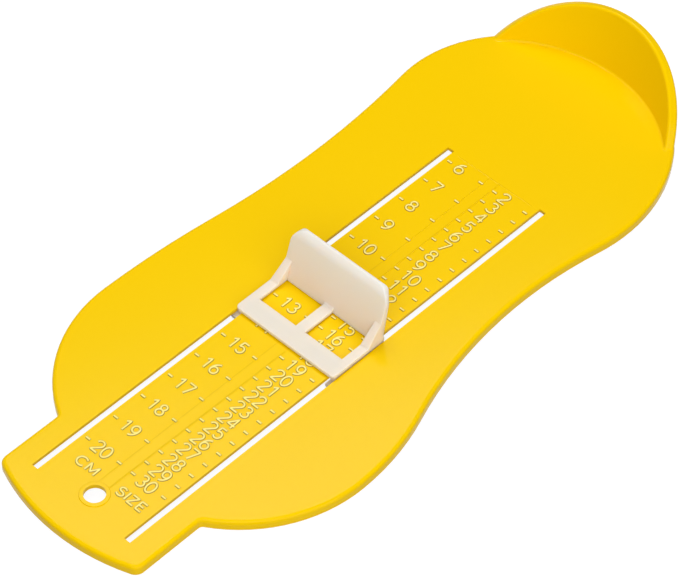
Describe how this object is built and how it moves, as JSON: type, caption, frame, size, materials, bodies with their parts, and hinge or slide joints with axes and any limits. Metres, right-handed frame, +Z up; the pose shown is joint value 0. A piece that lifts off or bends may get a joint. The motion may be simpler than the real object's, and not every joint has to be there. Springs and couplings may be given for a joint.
{
  "type": "foot measuring device",
  "caption": "Foot-shaped plate with a flared heel cup and a short handle; a windowed slider with an upright toe wall runs in lengthwise slots over a raised scale.",
  "frame": {"origin": "under the middle of the whole device, on the surface that it lies on", "axes": "+Y from the handle to the heel cup, +Z up out of the scale's face, +X across the plate"},
  "size_m": [0.0978, 0.233, 0.0202],
  "materials": {
    "plate": "satin",
    "slider": "satin"
  },
  "bodies": {
    "base": {"base_plate": "plate"},
    "slider": {"slider": "slider"}
  },
  "joints": [
    {"name": "slider_travel", "type": "slide", "parent": "base", "child": "slider", "axis": [0, 1, 0], "range_m": [-0.0753, 0.0651]}
  ]
}
